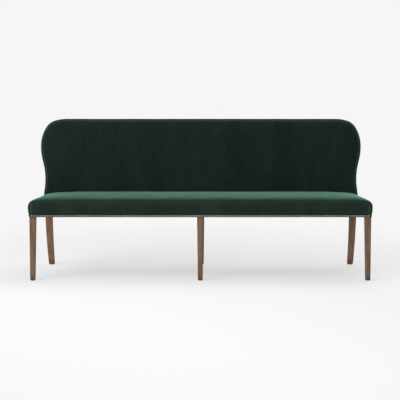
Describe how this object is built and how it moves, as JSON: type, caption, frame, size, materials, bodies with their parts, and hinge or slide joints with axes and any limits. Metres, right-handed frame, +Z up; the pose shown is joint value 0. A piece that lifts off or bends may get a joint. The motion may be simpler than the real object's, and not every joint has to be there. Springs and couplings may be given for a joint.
{
  "type": "upholstered dining bench",
  "caption": "Long upholstered dining bench with a tall raked back with rounded shoulders, a thin crowned seat with nailhead trim along its hem, and tapered wooden legs.",
  "frame": {"origin": "on the floor under the middle of the bench's outer box", "axes": "+X along the bench to the sitter's left, -Y the way the sitter looks, +Z up"},
  "size_m": [2.069, 0.646, 0.9508],
  "materials": {
    "show_wood": "walnut-stained beech, satin lacquer",
    "frame_wood": "sawn hardwood, unfinished",
    "velvet": "dark green cotton velvet, short dense pile",
    "foam": "upholstery foam with wadding",
    "webbing": "elastic upholstery webbing",
    "hessian": "woven jute",
    "dust_cover": "black non-woven cloth",
    "hardboard": "brown hardboard",
    "nail_brass": "antique brass, satin",
    "steel": "zinc-plated steel",
    "nylon": "dark nylon"
  },
  "bodies": {
    "root": {"front_leg_left": "show_wood", "front_leg_middle": "show_wood", "front_leg_right": "show_wood", "rear_leg_left": "show_wood", "rear_leg_middle": "show_wood", "rear_leg_right": "show_wood", "foot_glides": "nylon", "front_rail": "frame_wood", "rear_rail": "frame_wood", "side_rail_left": "frame_wood", "side_rail_right": "frame_wood", "cross_rail_left": "frame_wood", "cross_rail_middle": "frame_wood", "cross_rail_right": "frame_wood", "corner_blocks": "frame_wood", "corner_block_screws": "steel", "leg_bolts": "steel", "leg_bolt_washers": "steel", "lap_bolts": "steel", "lap_screws": "steel", "seat_webbing": "webbing", "seat_hessian": "hessian", "seat_foam": "foam", "seat_cover": "velvet", "dust_cover": "dust_cover", "dust_cover_staples": "steel", "nailheads_front": "nail_brass", "nailheads_left": "nail_brass", "nailheads_right": "nail_brass", "back_top_rail": "frame_wood", "back_lower_rail": "frame_wood", "back_end_piece_left": "frame_wood", "back_end_piece_right": "frame_wood", "back_stiles": "frame_wood", "back_webbing": "webbing", "back_hessian": "hessian", "back_foam": "foam", "back_cover": "velvet", "back_board": "hardboard", "back_outside_cover": "velvet"}
  },
  "joints": []
}
